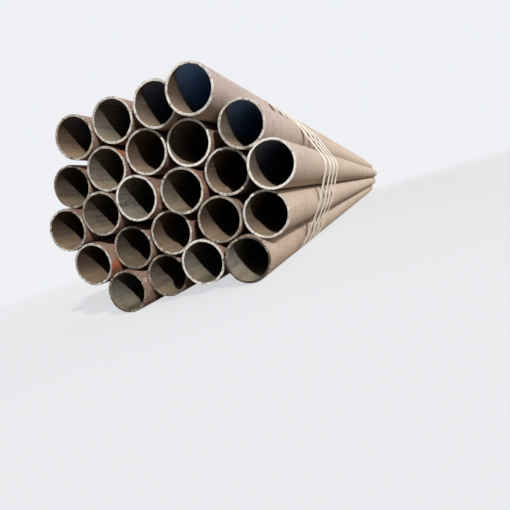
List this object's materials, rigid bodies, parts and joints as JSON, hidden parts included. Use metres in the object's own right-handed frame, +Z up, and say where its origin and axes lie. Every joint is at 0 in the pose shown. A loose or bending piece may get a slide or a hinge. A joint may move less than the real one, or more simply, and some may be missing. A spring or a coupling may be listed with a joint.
{
  "type": "bundle of steel pipes",
  "caption": "Strapped hexagonal bundle of long round seamless steel pipes with open ends, held by steel straps wound side by side near each end.",
  "frame": {"origin": "on the floor, below the middle of the bundle", "axes": "+Y along the pipes away from the near ends, +X across the bundle, +Z up"},
  "size_m": [0.667, 6.111, 0.5079],
  "materials": {
    "pipe_steel": "hot-rolled mill scale, pinkish brown-grey, with bare saw-cut ends",
    "strap_steel": "dull galvanised steel strip"
  },
  "bodies": {
    "root": {"pipe_r1_1": "pipe_steel", "pipe_r1_2": "pipe_steel", "pipe_r1_3": "pipe_steel", "pipe_r1_4": "pipe_steel", "pipe_r2_1": "pipe_steel", "pipe_r2_2": "pipe_steel", "pipe_r2_3": "pipe_steel", "pipe_r2_4": "pipe_steel", "pipe_r2_5": "pipe_steel", "pipe_r3_1": "pipe_steel", "pipe_r3_2": "pipe_steel", "pipe_r3_3": "pipe_steel", "pipe_r3_4": "pipe_steel", "pipe_r3_5": "pipe_steel", "pipe_r3_6": "pipe_steel", "pipe_r4_1": "pipe_steel", "pipe_r4_2": "pipe_steel", "pipe_r4_3": "pipe_steel", "pipe_r4_4": "pipe_steel", "pipe_r4_5": "pipe_steel", "pipe_r5_1": "pipe_steel", "pipe_r5_2": "pipe_steel", "pipe_r5_3": "pipe_steel", "pipe_r5_4": "pipe_steel", "strap_near_1": "strap_steel", "strap_near_2": "strap_steel", "strap_near_3": "strap_steel", "strap_near_4": "strap_steel", "strap_far_1": "strap_steel", "strap_far_2": "strap_steel", "strap_far_3": "strap_steel", "strap_far_4": "strap_steel"}
  },
  "joints": []
}
